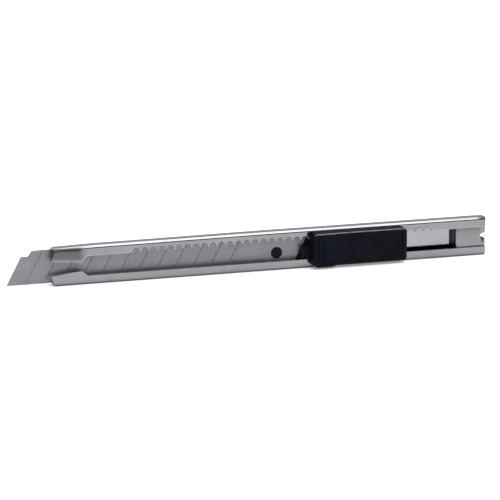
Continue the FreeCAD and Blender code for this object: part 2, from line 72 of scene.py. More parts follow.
# folded channel
GAUGE = 0.5
FOLD = 0.85
INNER_FOLD = 0.35
WEB = BACK - GAUGE
LIP_BACK = FACE + GAUGE
NOSE_END = FRONT + 7.5
PRESS_START, PRESS_END = NOSE_END - 0.3, NOSE_END + 3.0
NOSE_PRESS_LOW, NOSE_PRESS_HIGH = 0.1, 0.6
NOSE_TAPER, NOSE_TAPER_END = 0.25, FRONT + 14.0
BARREL_TAPER, BARREL_TAPER_START, BARREL_TAPER_END = 0.25, FRONT + 8.0, 5.0
NOSE_LIP = FRONT + 8.4
LIP_BEVEL_END = NOSE_LIP + 1.6
NOSE_POINT, NOSE_POINT_LENGTH = 1.1, 3.0
MOUTH_LOW, WAIST_LOW, SLOT_LOW = 2.9, 3.85, 2.5
MOUTH_HIGH, WAIST_HIGH, SLOT_PLAIN, SLOT_HIGH = 6.65, 5.9, 7.7, 7.9
SCALLOPS_START = FRONT + 22.1
PLAIN_LIP_END = SCALLOPS_START - 0.4
SCALLOP_PITCH = 2.36
SCALLOP_COUNT = 36
SCALLOP_RADIUS = 1.0
SCALLOP_LEVEL = SLOT_HIGH - 0.1
WEB_NOTCH_LENGTH, WEB_NOTCH_LOW, WEB_NOTCH_HIGH = 2.1, 0.85, 9.85

# blade
BLADE_FACE, BLADE_BACK = BLADE_LOW.y, BLADE_HIGH.y
EDGE, SPINE = BLADE_LOW.z, BLADE_HIGH.z
MIDDLE = (EDGE + SPINE) / 2
SLANT = 0.532
BLADE_FRONT = BLADE_LOW.x + (MIDDLE - EDGE) * SLANT
BLADE_TAIL = BLADE_HIGH.x - (SPINE - MIDDLE) * SLANT
SEGMENT = 5.0
SCORE_COUNT = 12
# SCORE_SHADE is how much painted shade darkens the score lines
SCORE_HALF, SCORE_SHOULDER, SCORE_DEPTH, SCORE_SHADE = 0.22, 0.4, 0.07, 0.15
BEVEL = 1.0
STEP_HEIGHT = 1.5
STEP_REAR = BLADE_FRONT + 2.05
HOLE_X, HOLE_Z, HOLE_RADIUS = BLADE_TAIL - 6.85, MIDDLE - 0.77, 1.6


# ---------------------------------------------------------------- mesh helpers

def smooth_step(low, high, place):
    """0 before low, 1 after high, and a smooth rise between."""
    t = min(max((place - low) / (high - low), 0.0), 1.0)
    return t * t * (3.0 - 2.0 * t)


def hump(rise, fall, place):
    """A smooth rise from 0 to 1 and a fall back to 0; each is given by where it starts and ends."""
    return smooth_step(*rise, place) * (1.0 - smooth_step(*fall, place))


def between(start, end, count):
    """Evenly spaced places from start to end, both included."""
    return [start + (end - start) * i / count for i in range(count + 1)]


def arc(centre, radius, start, end, count):
    """Points of an arc between two angles in degrees."""
    points = []
    for angle in between(math.radians(start), math.radians(end), count):
        points.append((centre[0] + radius * math.cos(angle), centre[1] + radius * math.sin(angle)))
    return points


def piece_from(name, points, faces, layers):
    """A mesh object from points in millimetres; each layer holds a value for each point."""
    mesh = bpy.data.meshes.new(name)
    mesh.from_pydata([Vector(p) * MM for p in points], [], faces)
    for layer, values in layers.items():
        mesh.attributes.new(layer, "FLOAT", "POINT").data.foreach_set("value", values)
    piece = bpy.data.objects.new(name, mesh)
    bpy.context.scene.collection.objects.link(piece)
    turn_outwards(piece)
    return piece


def turn_outwards(piece):
    shell = bmesh.new()
    shell.from_mesh(piece.data)
    bmesh.ops.recalc_face_normals(shell, faces=shell.faces)
    shell.to_mesh(piece.data)
    shell.free()


def apply_modifiers(piece):
    """Replaces the piece's mesh by what its modifiers make of it."""
    graph = bpy.context.evaluated_depsgraph_get()
    shaped = bpy.data.meshes.new_from_object(piece.evaluated_get(graph))
    piece.modifiers.clear()
    old = piece.data
    piece.data = shaped
    shaped.name = piece.name
    bpy.data.meshes.remove(old)


def soften(piece, width, segments=2, angle=40):
    """Rounds every edge sharper than the angle."""
    bevel = piece.modifiers.new("soft edges", "BEVEL")
    bevel.width = width * MM
    bevel.segments = segments
    bevel.limit_method = "ANGLE"
    bevel.angle_limit = math.radians(angle)
    bevel.miter_outer = "MITER_ARC"
    apply_modifiers(piece)


def cut(piece, cutter):
    """Takes the cutter's shape away from the piece."""
    boolean = piece.modifiers.new("cut", "BOOLEAN")
    boolean.operation = "DIFFERENCE"
    boolean.solver = "EXACT"
    boolean.object = cutter
    apply_modifiers(piece)
    bpy.data.objects.remove(cutter)


def join(name, parts):
    """One mesh object from several, which are then gone."""
    whole = bmesh.new()
    for part in parts:
        whole.from_mesh(part.data)
        bpy.data.objects.remove(part)
    mesh = bpy.data.meshes.new(name)
    whole.to_mesh(mesh)
    whole.free()
    piece = bpy.data.objects.new(name, mesh)
    bpy.context.scene.collection.objects.link(piece)
    return piece


def sweep(name, rings, **layers):
    """A closed skin over rings of points, each ring with the same number of points."""
    count = len(rings[0])
    points = [p for ring in rings for p in ring]
    faces = []
    for r in range(len(rings) - 1):
        for i in range(count):
            j = (i + 1) % count
            faces.append((r * count + i, r * count + j, (r + 1) * count + j, (r + 1) * count + i))
    last = (len(rings) - 1) * count
    faces.append(tuple(range(count)))
    faces.append(tuple(last + i for i in range(count)))
    return piece_from(name, points, faces, layers)


def prism(name, outline, near, far):
    """An outline in X and Z, drawn out along Y."""
    return sweep(name, [[(x, near, z) for x, z in outline], [(x, far, z) for x, z in outline]])


def rectangle(left, right, low, high):
    return [(left, low), (right, low), (right, high), (left, high)]


def rounded(left, right, low, high, radius, count=6):
    """A rectangle's outline with round corners."""
    corners = [
        (right - radius, low + radius, -90),
        (right - radius, high - radius, 0),
        (left + radius, high - radius, 90),
        (left + radius, low + radius, 180),
    ]
    points = []
    for x, y, turn in corners:
        points += arc((x, y), radius, turn, turn + 90, count)
    return points


def finish_piece(piece, body, node, material, crease=35):
    """Shading, material, and the CAD node and body that the piece stands for."""
    piece.data.shade_smooth()
    piece.data.set_sharp_from_angle(angle=math.radians(crease))
    if not piece.data.materials:
        piece.data.materials.append(material)
    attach(piece, body)
    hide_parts(node)


# ---------------------------------------------------------------- materials

def node_material(name):
    material = bpy.data.materials.new(name)
    material.use_nodes = True
    tree = material.node_tree
    return material, tree, tree.nodes["Principled BSDF"]


def link(tree, source, target):
    tree.links.new(source, target)


def noise(tree, scale, detail=3.0, roughness=0.5):
    """Noise in the object's own space; the scale is features per millimetre along X, Y and Z."""
    place = tree.nodes.new("ShaderNodeTexCoord")
    mapping = tree.nodes.new("ShaderNodeMapping")
    mapping.inputs["Scale"].default_value = [s / MM for s in scale]
    texture = tree.nodes.new("ShaderNodeTexNoise")
    texture.inputs["Scale"].default_value = 1.0
    texture.inputs["Detail"].default_value = detail
    texture.inputs["Roughness"].default_value = roughness
    link(tree, place.outputs["Object"], mapping.inputs["Vector"])
    link(tree, mapping.outputs["Vector"], texture.inputs["Vector"])
    return texture.outputs["Fac"]


def remap(tree, source, low, high, new_low, new_high):
    node = tree.nodes.new("ShaderNodeMapRange")
    node.inputs["From Min"].default_value = low
    node.inputs["From Max"].default_value = high
    node.inputs["To Min"].default_value = new_low
    node.inputs["To Max"].default_value = new_high
    link(tree, source, node.inputs["Value"])
    return node.outputs["Result"]


def maths(tree, operation, first, second):
    node = tree.nodes.new("ShaderNodeMath")
    node.operation = operation
    node.use_clamp = True
    for socket, term in zip(node.inputs, (first, second)):
        if isinstance(term, float):
            socket.default_value = term
        else:
            link(tree, term, socket)
    return node.outputs["Value"]


def mix_colour(tree, amount, first, second):
    node = tree.nodes.new("ShaderNodeMix")
    node.data_type = "RGBA"
    link(tree, amount, node.inputs["Factor"])
    for socket, term in ((node.inputs["A"], first), (node.inputs["B"], second)):
        if isinstance(term, tuple):
            socket.default_value = (*term, 1.0)
        else:
            link(tree, term, socket)
    return node.outputs["Result"]


def bump(tree, height, distance, strength, shader):
    node = tree.nodes.new("ShaderNodeBump")
    node.inputs["Distance"].default_value = distance * MM
    node.inputs["Strength"].default_value = strength
    link(tree, height, node.inputs["Height"])
    link(tree, node.outputs["Normal"], shader.inputs["Normal"])


def layer(tree, name):
    """A value painted on the points of the mesh; 0 where the mesh has no such layer."""
    node = tree.nodes.new("ShaderNodeAttribute")
    node.attribute_name = name
    return node.outputs["Fac"]


def steel(name, dark, pale, rough, streak, streak_strength, stain, metallic=1.0):
    """Steel with lengthwise streaks, cloudy tone and stains. Where the mesh marks it, the colour is painted
    paler (wear and painted highlight), and painted shade makes it dark and dull.
    """
    material, tree, shader = node_material(name)
    streaks = noise(tree, streak, detail=5.0, roughness=0.6)
    clouds = noise(tree, (0.12, 0.35, 0.35), detail=3.0)
    specks = noise(tree, (2.2, 2.2, 2.2), detail=2.0)
    streak_share, cloud_share = 0.55, 0.45
    tone = maths(tree, "ADD", maths(tree, "MULTIPLY", streaks, streak_share),
                 maths(tree, "MULTIPLY", clouds, cloud_share))
    colour = mix_colour(tree, remap(tree, tone, 0.35, 0.65, 0.0, 1.0), dark, pale)
    spots = remap(tree, specks, 0.66, 0.74, 0.0, stain)
    colour = mix_colour(tree, spots, colour, tuple(c * 0.55 for c in dark))
    # edges marked in the mesh are painted paler: wear, and a painted highlight
    highlight_amount = maths(tree, "MULTIPLY", layer(tree, "wear"), remap(tree, specks, 0.35, 0.6, 0.2, 1.0))
    colour = mix_colour(tree, highlight_amount, colour, tuple(min(1.0, c * 1.8) for c in pale))
    # painted shade: dark colour, with the metal made dull so that it stays dark at grazing angles
    tarnish = maths(tree, "MULTIPLY", layer(tree, "tarnish"), remap(tree, clouds, 0.3, 0.6, 0.7, 1.0))
    colour = mix_colour(tree, tarnish, colour, tuple(c * 0.12 for c in dark))
    unshaded = maths(tree, "SUBTRACT", 1.0, tarnish)
    link(tree, maths(tree, "MULTIPLY", unshaded, metallic), shader.inputs["Metallic"])
    link(tree, maths(tree, "MULTIPLY", unshaded, 0.5), shader.inputs["Specular IOR Level"])
    link(tree, colour, shader.inputs["Base Color"])
    link(tree, remap(tree, streaks, 0.3, 0.7, rough[0], rough[1]), shader.inputs["Roughness"])
    bump(tree, streaks, 0.02, streak_strength, shader)
    return material


def plastic(name, deep, highlight_tone, rough, grain_strength, gloss):
    """Black moulded plastic with fine grain and faint cloudiness; marked rims get a painted highlight, paler
    and smoother.
    """
    material, tree, shader = node_material(name)
    shader.inputs["Specular IOR Level"].default_value = gloss
    grain = noise(tree, (7.0, 7.0, 7.0), detail=2.0)
    clouds = noise(tree, (0.25, 0.25, 0.25), detail=4.0)
    rubs = noise(tree, (0.5, 0.5, 2.5), detail=5.0, roughness=0.65)
    colour = mix_colour(tree, remap(tree, clouds, 0.35, 0.65, 0.0, 1.0), deep, tuple(c * 1.6 for c in deep))
    # painted highlight on the marked rims, broken up by noise
    highlight_amount = maths(tree, "MULTIPLY", layer(tree, "wear"), remap(tree, rubs, 0.35, 0.6, 0.55, 1.0))
    colour = mix_colour(tree, highlight_amount, colour, highlight_tone)
    link(tree, colour, shader.inputs["Base Color"])
    finish = maths(tree, "SUBTRACT", remap(tree, rubs, 0.3, 0.7, rough[0], rough[1]),
                   maths(tree, "MULTIPLY", highlight_amount, 0.12))
    link(tree, finish, shader.inputs["Roughness"])
    bump(tree, grain, 0.02, grain_strength, shader)
    return material


CHANNEL_STEEL = steel(
    "channel steel",
    dark=(0.196, 0.196, 0.207),
    pale=(0.25, 0.25, 0.264),
    rough=(0.07, 0.14),
    streak=(0.05, 9.0, 9.0),
    streak_strength=0.06,
    stain=0.25,
)
WEB_STEEL = steel(
    "mirror steel",
    dark=(0.25, 0.25, 0.262),
    pale=(0.3, 0.3, 0.314),
    rough=(0.04, 0.1),
    streak=(0.05, 7.0, 7.0),
    streak_strength=0.02,
    stain=0.3,
)
# a dark copy of the steel: painted shade on the backs of lips, the insides of folds and the clip's flange
SHADED_STEEL = steel(
    "painted shade inside folds",
    dark=(0.02, 0.02, 0.022),
    pale=(0.035, 0.035, 0.04),
    rough=(0.35, 0.5),
    streak=(0.08, 4.0, 4.0),
    streak_strength=0.1,
    stain=0.2,
)
# a paler, duller copy of the steel for the backs of lips ahead of the blade's tail: painted light, so that the
# blade reflects them lighter
LIT_STEEL = steel(
    "painted light on backs of lips",
    dark=(0.6, 0.6, 0.61),
    pale=(0.7, 0.7, 0.71),
    rough=(0.5, 0.65),
    streak=(0.08, 4.0, 4.0),
    streak_strength=0.1,
    stain=0.2,
    metallic=0.2,
)
BLADE_STEEL = steel(
    "blade steel",
    dark=(0.19, 0.193, 0.205),
    pale=(0.25, 0.253, 0.267),
    rough=(0.4, 0.5),
    streak=(3.0, 5.0, 0.2),
    streak_strength=0.08,
    stain=0.3,
    metallic=0.8,
)
CLIP_STEEL = steel(
    "clip steel",
    dark=(0.194, 0.194, 0.198),
    pale=(0.238, 0.238, 0.244),
    rough=(0.2, 0.32),
    streak=(0.4, 6.0, 6.0),
    streak_strength=0.05,
    stain=0.2,
)
SPRING_STEEL = steel(
    "spring steel",
    dark=(0.3, 0.3, 0.31),
    pale=(0.42, 0.42, 0.43),
    rough=(0.25, 0.35),
    streak=(0.3, 6.0, 6.0),
    streak_strength=0.1,
    stain=0.3,
)
# the cap's highlight tone is a painted highlight along its top rim
CAP_PLASTIC = plastic(
    "cap plastic",
    deep=(0.0035, 0.0042, 0.0066),
    highlight_tone=(0.2, 0.2, 0.21),
    rough=(0.45, 0.55),
    grain_strength=0.2,
    gloss=0.03,
)
CARRIER_PLASTIC = plastic(
    "carrier plastic",
    deep=(0.003, 0.003, 0.0035),
    highlight_tone=(0.012, 0.012, 0.012),
    rough=(0.3, 0.42),
    grain_strength=0.15,
    gloss=0.08,
)


# ---------------------------------------------------------------- folded channel

# a row of points this close to each lip's edge, rows on the web as shares of its height,
# the places of the two lip edges in a ring, and the x behind which the lips' backs get painted shade
EDGE_SUPPORT = 0.22
WEB_SHARES = (0.35, 0.65)
LOWER_EDGE, UPPER_EDGE = 0, 51
DARK_FROM = 6.0


def lip_levels(x):
    """Heights of the lower and the upper lip's edge at a place along X, away from the scallops."""
    if x <= NOSE_LIP:
        t = (x - FRONT) / (NOSE_LIP - FRONT)
        return MOUTH_LOW + (WAIST_LOW - MOUTH_LOW) * t, MOUTH_HIGH + (WAIST_HIGH - MOUTH_HIGH) * t
    if x <= LIP_BEVEL_END:
        t = (x - NOSE_LIP) / (LIP_BEVEL_END - NOSE_LIP)
        return WAIST_LOW + (SLOT_LOW - WAIST_LOW) * t, WAIST_HIGH + (SLOT_PLAIN - WAIST_HIGH) * t
    return SLOT_LOW, SLOT_PLAIN if x < PLAIN_LIP_END else SLOT_HIGH


def channel_top(x):
    """The channel's back edge falls a little towards the nose."""
    nose = 1.0 - smooth_step(FRONT, NOSE_TAPER_END, x)
    barrel = 1.0 - smooth_step(BARREL_TAPER_START, BARREL_TAPER_END, x)
    return TOP - NOSE_TAPER * nose - BARREL_TAPER * barrel


def nose_press(x):
    """1 along the nose, where the lips lean in, easing to 0 where they are flat."""
    return 1.0 - smooth_step(PRESS_START, PRESS_END, x)


def channel_ring(x, low, high):
    """The folded section at x: round the outside from the lower lip's edge, then back round the inside."""
    press = nose_press(x)
    top = channel_top(x)
    fold_high = top - FOLD

    def lean(z):
        """How far a lip is pressed in at a height."""
        if z < MIDDLE:
            return NOSE_PRESS_LOW * press * max(z - FOLD, 0.0) / (WAIST_LOW - FOLD)
        return NOSE_PRESS_HIGH * press * max(fold_high - z, 0.0) / (fold_high - WAIST_HIGH)

    lower = [low] + between(low - EDGE_SUPPORT, FOLD, 4)[:-1]
    upper = [high] + between(high + EDGE_SUPPORT, fold_high, 4)[:-1]
    outside = [(FACE + lean(z), z) for z in lower]
    outside += arc((FACE + FOLD, FOLD), FOLD, 180, 270, 10)
    outside += arc((BACK - FOLD, FOLD), FOLD, 270, 360, 8)
    outside += [(BACK, top * share) for share in WEB_SHARES]
    outside += arc((BACK - FOLD, fold_high), FOLD, 0, 90, 8)
    outside += arc((FACE + FOLD, fold_high), FOLD, 90, 180, 10)
    outside += [(FACE + lean(z), z) for z in reversed(upper)]
    reach = GAUGE + INNER_FOLD
    inside = [(LIP_BACK + lean(z), z) for z in upper]
    inside += arc((FACE + reach, top - reach), INNER_FOLD, 180, 90, 4)
    inside += arc((BACK - reach, top - reach), INNER_FOLD, 90, 0, 4)
    inside += [(WEB, top * share) for share in reversed(WEB_SHARES)]
    inside += arc((BACK - reach, reach), INNER_FOLD, 0, -90, 4)
    inside += arc((FACE + reach, reach), INNER_FOLD, -90, -180, 4)
    inside += [(LIP_BACK + lean(z), z) for z in reversed(lower)]
    return [(x + nose_set_back(x, z), y, z) for y, z in outside + inside]


def nose_set_back(x, z):
    """The channel's front end slants back above and below the slot's mouth."""
    fade = 1.0 - min((x - FRONT) / NOSE_POINT_LENGTH, 1.0)
    if z < MOUTH_LOW:
        return NOSE_POINT * (MOUTH_LOW - z) / MOUTH_LOW * fade
    if z > MOUTH_HIGH:
        return NOSE_POINT * (z - MOUTH_HIGH) / (TOP - MOUTH_HIGH) * fade
    return 0.0


def channel_stations():
    """Places along X with the two lip heights there: nose, press, plain stretch, scallops and rear end."""
    cut_end = [FRONT + 0.25, FRONT + 0.4]
    places = cut_end + between(FRONT, NOSE_END, 12)
    places += between(NOSE_END, PRESS_END, 18)[1:]
    places += between(PRESS_END, SCALLOPS_START - 1.0, 6)[1:]
    places += [NOSE_LIP, LIP_BEVEL_END, PLAIN_LIP_END, SCALLOPS_START]
    stations = [(x, *lip_levels(x)) for x in sorted(set(places))]
    start_angle = math.degrees(math.asin((SLOT_HIGH - SCALLOP_LEVEL) / SCALLOP_RADIUS))
    for i in range(SCALLOP_COUNT):
        centre = SCALLOPS_START + (i + 0.5) * SCALLOP_PITCH
        for x, high in arc((centre, SCALLOP_LEVEL), SCALLOP_RADIUS, 180 - start_angle, start_angle, 11):
            stations.append((x, SLOT_LOW, high))
    rear_start = stations[-1][0]
    stations += [(x, SLOT_LOW, SLOT_HIGH) for x in between(rear_start, REAR, 6)[1:]]
    return stations


def build_channel():
    rings = [channel_ring(*station) for station in channel_stations()]
    wear, tarnish = [], []
    for ring in rings:
        # lip edges are painted paler: the lower edge all along (wear and painted highlight), the upper edge at
        # the cusp tips (painted highlight); the scallop roots get a painted shadow
        root = smooth_step(SCALLOP_LEVEL, SCALLOP_LEVEL + SCALLOP_RADIUS, ring[UPPER_EDGE][2])
        for i, point in enumerate(ring):
            wear.append(1.0 if i == LOWER_EDGE else 1.0 - root if i == UPPER_EDGE else 0.0)
            tarnish.append(0.8 * root if i == UPPER_EDGE else channel_tarnish(*point))
    piece = sweep("channel", rings, wear=wear, tarnish=tarnish)
    opening = rectangle(REAR - WEB_NOTCH_LENGTH, REAR + 1, WEB_NOTCH_LOW, WEB_NOTCH_HIGH)
    cut(piece, prism("notch", opening, WEB - INNER_FOLD, BACK + 1))
    soften(piece, 0.05)
    paint_inside(piece)
    finish_piece(piece, "body", "body_channel", CHANNEL_STEEL)


def channel_tarnish(x, y, z):
    """Painted shade, standing in for dark reflections, under the bottom folds, in the hollow of the nose's
    upper lip and on its cut end.
    """
    under = 1.0 - smooth_step(0.25, 0.6, z)
    if y > 0.0:
        return under
    fold_foot = TOP - FOLD
    below_fold = 1.0 - smooth_step(fold_foot - 0.1, fold_foot + 0.4, z)
    upper_lip = smooth_step(MIDDLE, WAIST_HIGH, z) * below_fold
    off_edge = smooth_step(0.1, 0.5, z - lip_levels(min(x, LIP_BEVEL_END))[1])
    shade = 0.66 + 0.28 * smooth_step(fold_foot - 1.1, fold_foot - 0.3, z)
    cut_end = 1.0 - smooth_step(0.3, 0.5, x - nose_set_back(FRONT, z) - FRONT)
    return max(under, shade * nose_press(x) * upper_lip * off_edge, cut_end * upper_lip)


def paint_inside(piece):
    """The web's inner side is a mirror. Backs of lips and folds get painted shade, but a paler painted light
    ahead of the tail.
    """
    for material in (CHANNEL_STEEL, WEB_STEEL, SHADED_STEEL, LIT_STEEL):
        piece.data.materials.append(material)
    mirror, dark, lit = 1, 2, 3
    margin = 0.05
    for face in piece.data.polygons:
        centre, normal = face.center / MM, face.normal
        in_web = centre.y > WEB - margin and normal.y < -0.9
        behind_lip = normal.y > 0.5 and centre.y < 0.0
        in_depth = LIP_BACK - margin < centre.y < WEB + margin
        in_height = 0.45 < centre.z < 0.9 or 9.0 < centre.z < channel_top(centre.x) - 0.45
        inside_fold = in_depth and in_height and abs(normal.x) < 0.5
        if in_web:
            face.material_index = mirror
        elif behind_lip or inside_fold:
            face.material_index = dark if centre.x > DARK_FROM else lit


build_channel()


# ---------------------------------------------------------------- blade

def blade_columns():
    """Places along the blade at mid height, each with the depth of the score line there."""
    columns = [(BLADE_FRONT, 0.0), (BLADE_FRONT + 0.6, 0.0)]
    for i in range(1, SCORE_COUNT + 1):
        middle = BLADE_FRONT + i * SEGMENT
        columns.append((middle, SCORE_DEPTH))
        for away in (-SCORE_SHOULDER, -SCORE_HALF, SCORE_HALF, SCORE_SHOULDER, SEGMENT / 2):
            columns.append((middle + away, 0.0))
    columns += [(x, 0.0) for x in between(STEP_REAR - 0.7, STEP_REAR + 0.15, 8)]
    columns.append((BLADE_TAIL, 0.0))
    return sorted(columns)


def spine_level(place):
    """The spine is cropped over the first segment's front corner."""
    return SPINE - STEP_HEIGHT * (1.0 - smooth_step(STEP_REAR - 0.25, STEP_REAR + 0.2, place))


def blade_ring(place, score):
    """A section of the blade that leans along the slant."""
    thin, keen = (BLADE_FACE + BLADE_BACK) / 2, 0.01
    rows = [(EDGE, thin - keen, thin + keen)]
    for z in between(EDGE + BEVEL, spine_level(place), 6):
        rows.append((z, BLADE_FACE + score, BLADE_BACK))
    near = [(z, face) for z, face, back in rows]
    far = [(z, back) for z, face, back in reversed(rows)]
    return [(place + (z - MIDDLE) * SLANT, y, z) for z, y in near + far]


def build_blade():
    columns = blade_columns()
    rings = [blade_ring(place, score) for place, score in columns]
    # the score lines are painted darker: painted shade in their grooves
    tarnish = []
    for place, score in columns:
        tarnish += [SCORE_SHADE if score else 0.0] * len(rings[0])
    piece = sweep("snap_blade", rings, tarnish=tarnish)
    hole = arc((HOLE_X, HOLE_Z), HOLE_RADIUS, 0, 360, 48)[:-1]
    cut(piece, prism("hole", hole, BLADE_FACE - 1, BLADE_BACK + 1))
    finish_piece(piece, "carriage", "blade", BLADE_STEEL, crease=8)


build_blade()


# ---------------------------------------------------------------- carrier

TONGUE_GAUGE = 0.6
TONGUE_LEAD, TONGUE_CORNER = 2.3, 0.8
STUD_STEPS = ((BLADE_BACK, 1.45), (0.3, 1.45), (0.22, 1.38), (0.2, 1.25), (0.2, 0.8), (0.24, 0.7))
BLOCK_FACE = -0.2
TAIL_GAP = 0.2
RAMP_RUN, RAMP_CURVE, RAMP_ROOT = 1.7, 1.6, 6.0
TONGUE_LOW, TONGUE_HIGH = CARRIER_LOW.z, CARRIER_HIGH.z
NECK_LOW, NECK_HIGH = SLOT_LOW + 0.15, SLOT_HIGH - 0.3
NECK_LEAD, WELL_LEAD = 1.0, 1.4
LEAF_LEVEL = LEAF_LOW.z
LEAF_GAUGE, TOOTH_RADIUS = 0.3, 0.65
TOOTH_X = LEAF_LOW.x + TOOTH_RADIUS
LEDGE = LEAF_LEVEL - 1.05
CARRIER_REAR = CARRIER_HIGH.x
NECK_REAR = CARRIER_REAR - 0.6
RAIL_GAP = 0.1
SEAT_FRONT, SEAT_REAR = 31.5, CARRIER_REAR - 1.2
SEAT_TOP, BAR_LOW = LEAF_LEVEL - 0.12, LEAF_LEVEL + 0.42
BOSS_FRONT, BOSS_REAR, BOSS_LOW, BOSS_HIGH = 14.0, 30.0, 3.2, 5.9
BOSS_HEIGHT, BOSS_CORNER = 1.6, 0.6


def behind_tail(z, gap):
    """X of a line that runs along the slant of the blade's tail, a gap behind it."""
    return BLADE_TAIL + gap + (z - MIDDLE) * SLANT


def carrier_stud():
    """The round stud in the hole of the blade's tail; its middle is a little hollow."""
    rings = []
    for y, radius in STUD_STEPS:
        outline = arc((HOLE_X, HOLE_Z), radius, 0, 360, 40)[:-1]
        rings.append([(x, y, z) for x, z in outline])
    return sweep("stud", rings)


def carrier_block():
    """The block behind the blade, its front end parallel to the blade's tail."""
    outline = [
        (behind_tail(TONGUE_LOW, TAIL_GAP), TONGUE_LOW),
        (CARRIER_REAR, TONGUE_LOW),
        (CARRIER_REAR, TONGUE_HIGH),
        (behind_tail(TONGUE_HIGH, TAIL_GAP), TONGUE_HIGH),
    ]
    return prism("block", outline, BLOCK_FACE, BLADE_BACK)


def carrier_ramp():
    """The ramp that rises from the block to the channel's face behind the blade's tail."""
    rings = []
    for z in between(NECK_LOW, NECK_HIGH, 8):
        foot = behind_tail(z, TAIL_GAP)
        ring = []
        for t in between(0, 1, 10):
            ring.append((foot + RAMP_RUN * t, BLOCK_FACE + (FACE - BLOCK_FACE) * t ** RAMP_CURVE, z))
        ring += [(foot + RAMP_ROOT, FACE, z), (foot + RAMP_ROOT, BLOCK_FACE, z)]
        rings.append(ring)
    return sweep("ramp", rings)


def carrier_neck():
    """The neck in the slot, cut down to a ledge for the leaf from its tooth to the rear."""
    ramp_end = TAIL_GAP + RAMP_RUN
    well = TOOTH_X - WELL_LEAD
    outline = [
        (behind_tail(NECK_LOW, ramp_end) + NECK_LEAD, NECK_LOW),
        (NECK_REAR, NECK_LOW),
        (NECK_REAR, LEDGE),
        (well, LEDGE),
        (well, NECK_HIGH),
        (behind_tail(NECK_HIGH, ramp_end) + NECK_LEAD, NECK_HIGH),
    ]
    return prism("neck", outline, FACE, BLOCK_FACE)


def build_carrier():
    tongue_outline = rounded(HOLE_X - TONGUE_LEAD, CARRIER_REAR, TONGUE_LOW, TONGUE_HIGH, TONGUE_CORNER)
    tongue = prism("tongue", tongue_outline, BLADE_BACK, BLADE_BACK + TONGUE_GAUGE)
    stud = carrier_stud()
    block = carrier_block()
    rails_outline = rectangle(behind_tail(TONGUE_LOW, TAIL_GAP + RAMP_RUN), NECK_REAR, TONGUE_LOW, LEDGE)
    rails = prism("rails", rails_outline, LIP_BACK + RAIL_GAP, BLOCK_FACE)
    ramp = carrier_ramp()
    neck = carrier_neck()
    seat = prism("seat", rectangle(SEAT_FRONT, SEAT_REAR, LEDGE, SEAT_TOP), FACE, BLOCK_FACE)
    bar = prism("bar", rectangle(SEAT_FRONT, SEAT_REAR, BAR_LOW, NECK_HIGH), FACE, BLOCK_FACE)
    boss_outline = rounded(BOSS_FRONT, BOSS_REAR, BOSS_LOW, BOSS_HIGH, BOSS_CORNER)
    boss = prism("boss", boss_outline, FACE - BOSS_HEIGHT, FACE)
    parts = [tongue, stud, block, rails, ramp, neck, seat, bar, boss]
    for part in parts:
        if part is not stud:
            soften(part, 0.12, segments=3, angle=50)
    piece = join("blade_holder", parts)
    finish_piece(piece, "carriage", "blade_carrier", CARRIER_PLASTIC, crease=40)


build_carrier()


# ---------------------------------------------------------------- lock spring

def build_spring():
    """A leaf with a rounded tooth bent up at its front end."""
    leaf_top = LEAF_LEVEL + LEAF_GAUGE
    fillet, corner = 0.3, 0.25
    fillet_x = TOOTH_X + TOOTH_RADIUS + fillet
    outline = [(LEAF_HIGH.x, LEAF_LEVEL), (LEAF_HIGH.x, leaf_top)]
    outline += arc((fillet_x, leaf_top + fillet), fillet, 270, 180, 4)
    outline += arc((TOOTH_X, LEAF_HIGH.z - TOOTH_RADIUS), TOOTH_RADIUS, 0, 180, 12)
    outline += arc((TOOTH_X - TOOTH_RADIUS + corner, LEAF_LEVEL + corner), corner, 180, 270, 4)
    piece = prism("lock_leaf", outline, LEAF_LOW.y, LEAF_HIGH.y)
    soften(piece, 0.05)
    finish_piece(piece, "lock_spring", "lock_spring", SPRING_STEEL)


build_spring()


# ---------------------------------------------------------------- thumb slide

CAP_UNDER = FACE - 0.05
CAP_FRONT, CAP_REAR = 10.45, 37.4
CAP_BOTTOM, CAP_TOP = 0.75, 9.8
CAP_FACE = CAP_UNDER - 2.85
BAND_HEIGHT = CAP_FACE - CAP_LOW.y
CREST = CAP_FRONT + 0.1
BAND_REAR = CREST + 6.45
BAND_DROP = 0.3
CORNER = 1.1
RIM = 0.5
ROUND_STOP = 0.98
GROOVE_HALF = 0.275
GROOVES = [CREST + start + GROOVE_HALF for start in (1.05, 2.55)]
REAR_GROOVE_MARGIN, REAR_GROOVE_PITCH = 0.6, 1.15
REAR_GROOVES = [CAP_REAR - REAR_GROOVE_MARGIN - i * REAR_GROOVE_PITCH + GROOVE_HALF for i in (1, 2, 3)]
GROOVE_DEPTH, GROOVE_FLOOR, GROOVE_REACH = 0.26, 0.12, 0.32
DIMPLE_DEPTH, DIMPLE_FLOOR, DIMPLE_REACH = 0.15, 0.1, 0.46
DIMPLE_PITCH, DIMPLE_ROW = 2.6, 2.3
CAP_ROWS, CAP_STATIONS = 84, 262


def cap_dimples():
    """Centres of the staggered dimples."""
    middle = (CAP_BOTTOM + CAP_TOP) / 2
    start = BAND_REAR + DIMPLE_PITCH / 2
    centres = []
    for line, count, shift in ((-1, 6, 0.0), (0, 5, 0.5), (1, 6, 0.0)):
        for i in range(count):
            centres.append((start + (i + shift) * DIMPLE_PITCH, middle + line * DIMPLE_ROW))
    return centres


DIMPLES = cap_dimples()


def face_relief(x, z):
    """How far the face is sunk at a point: grooves across it, and dimples."""
    depth = 0.0
    within = hump((CAP_BOTTOM + 0.75, CAP_BOTTOM + 1.1), (CAP_TOP - 1.1, CAP_TOP - 0.75), z)
    for middle in GROOVES + REAR_GROOVES:
        depth += GROOVE_DEPTH * within * (1.0 - smooth_step(GROOVE_FLOOR, GROOVE_REACH, abs(x - middle)))
    for dimple_x, dimple_z in DIMPLES:
        away = math.hypot(x - dimple_x, z - dimple_z)
        depth += DIMPLE_DEPTH * (1.0 - smooth_step(DIMPLE_FLOOR, DIMPLE_REACH, away))
    return depth


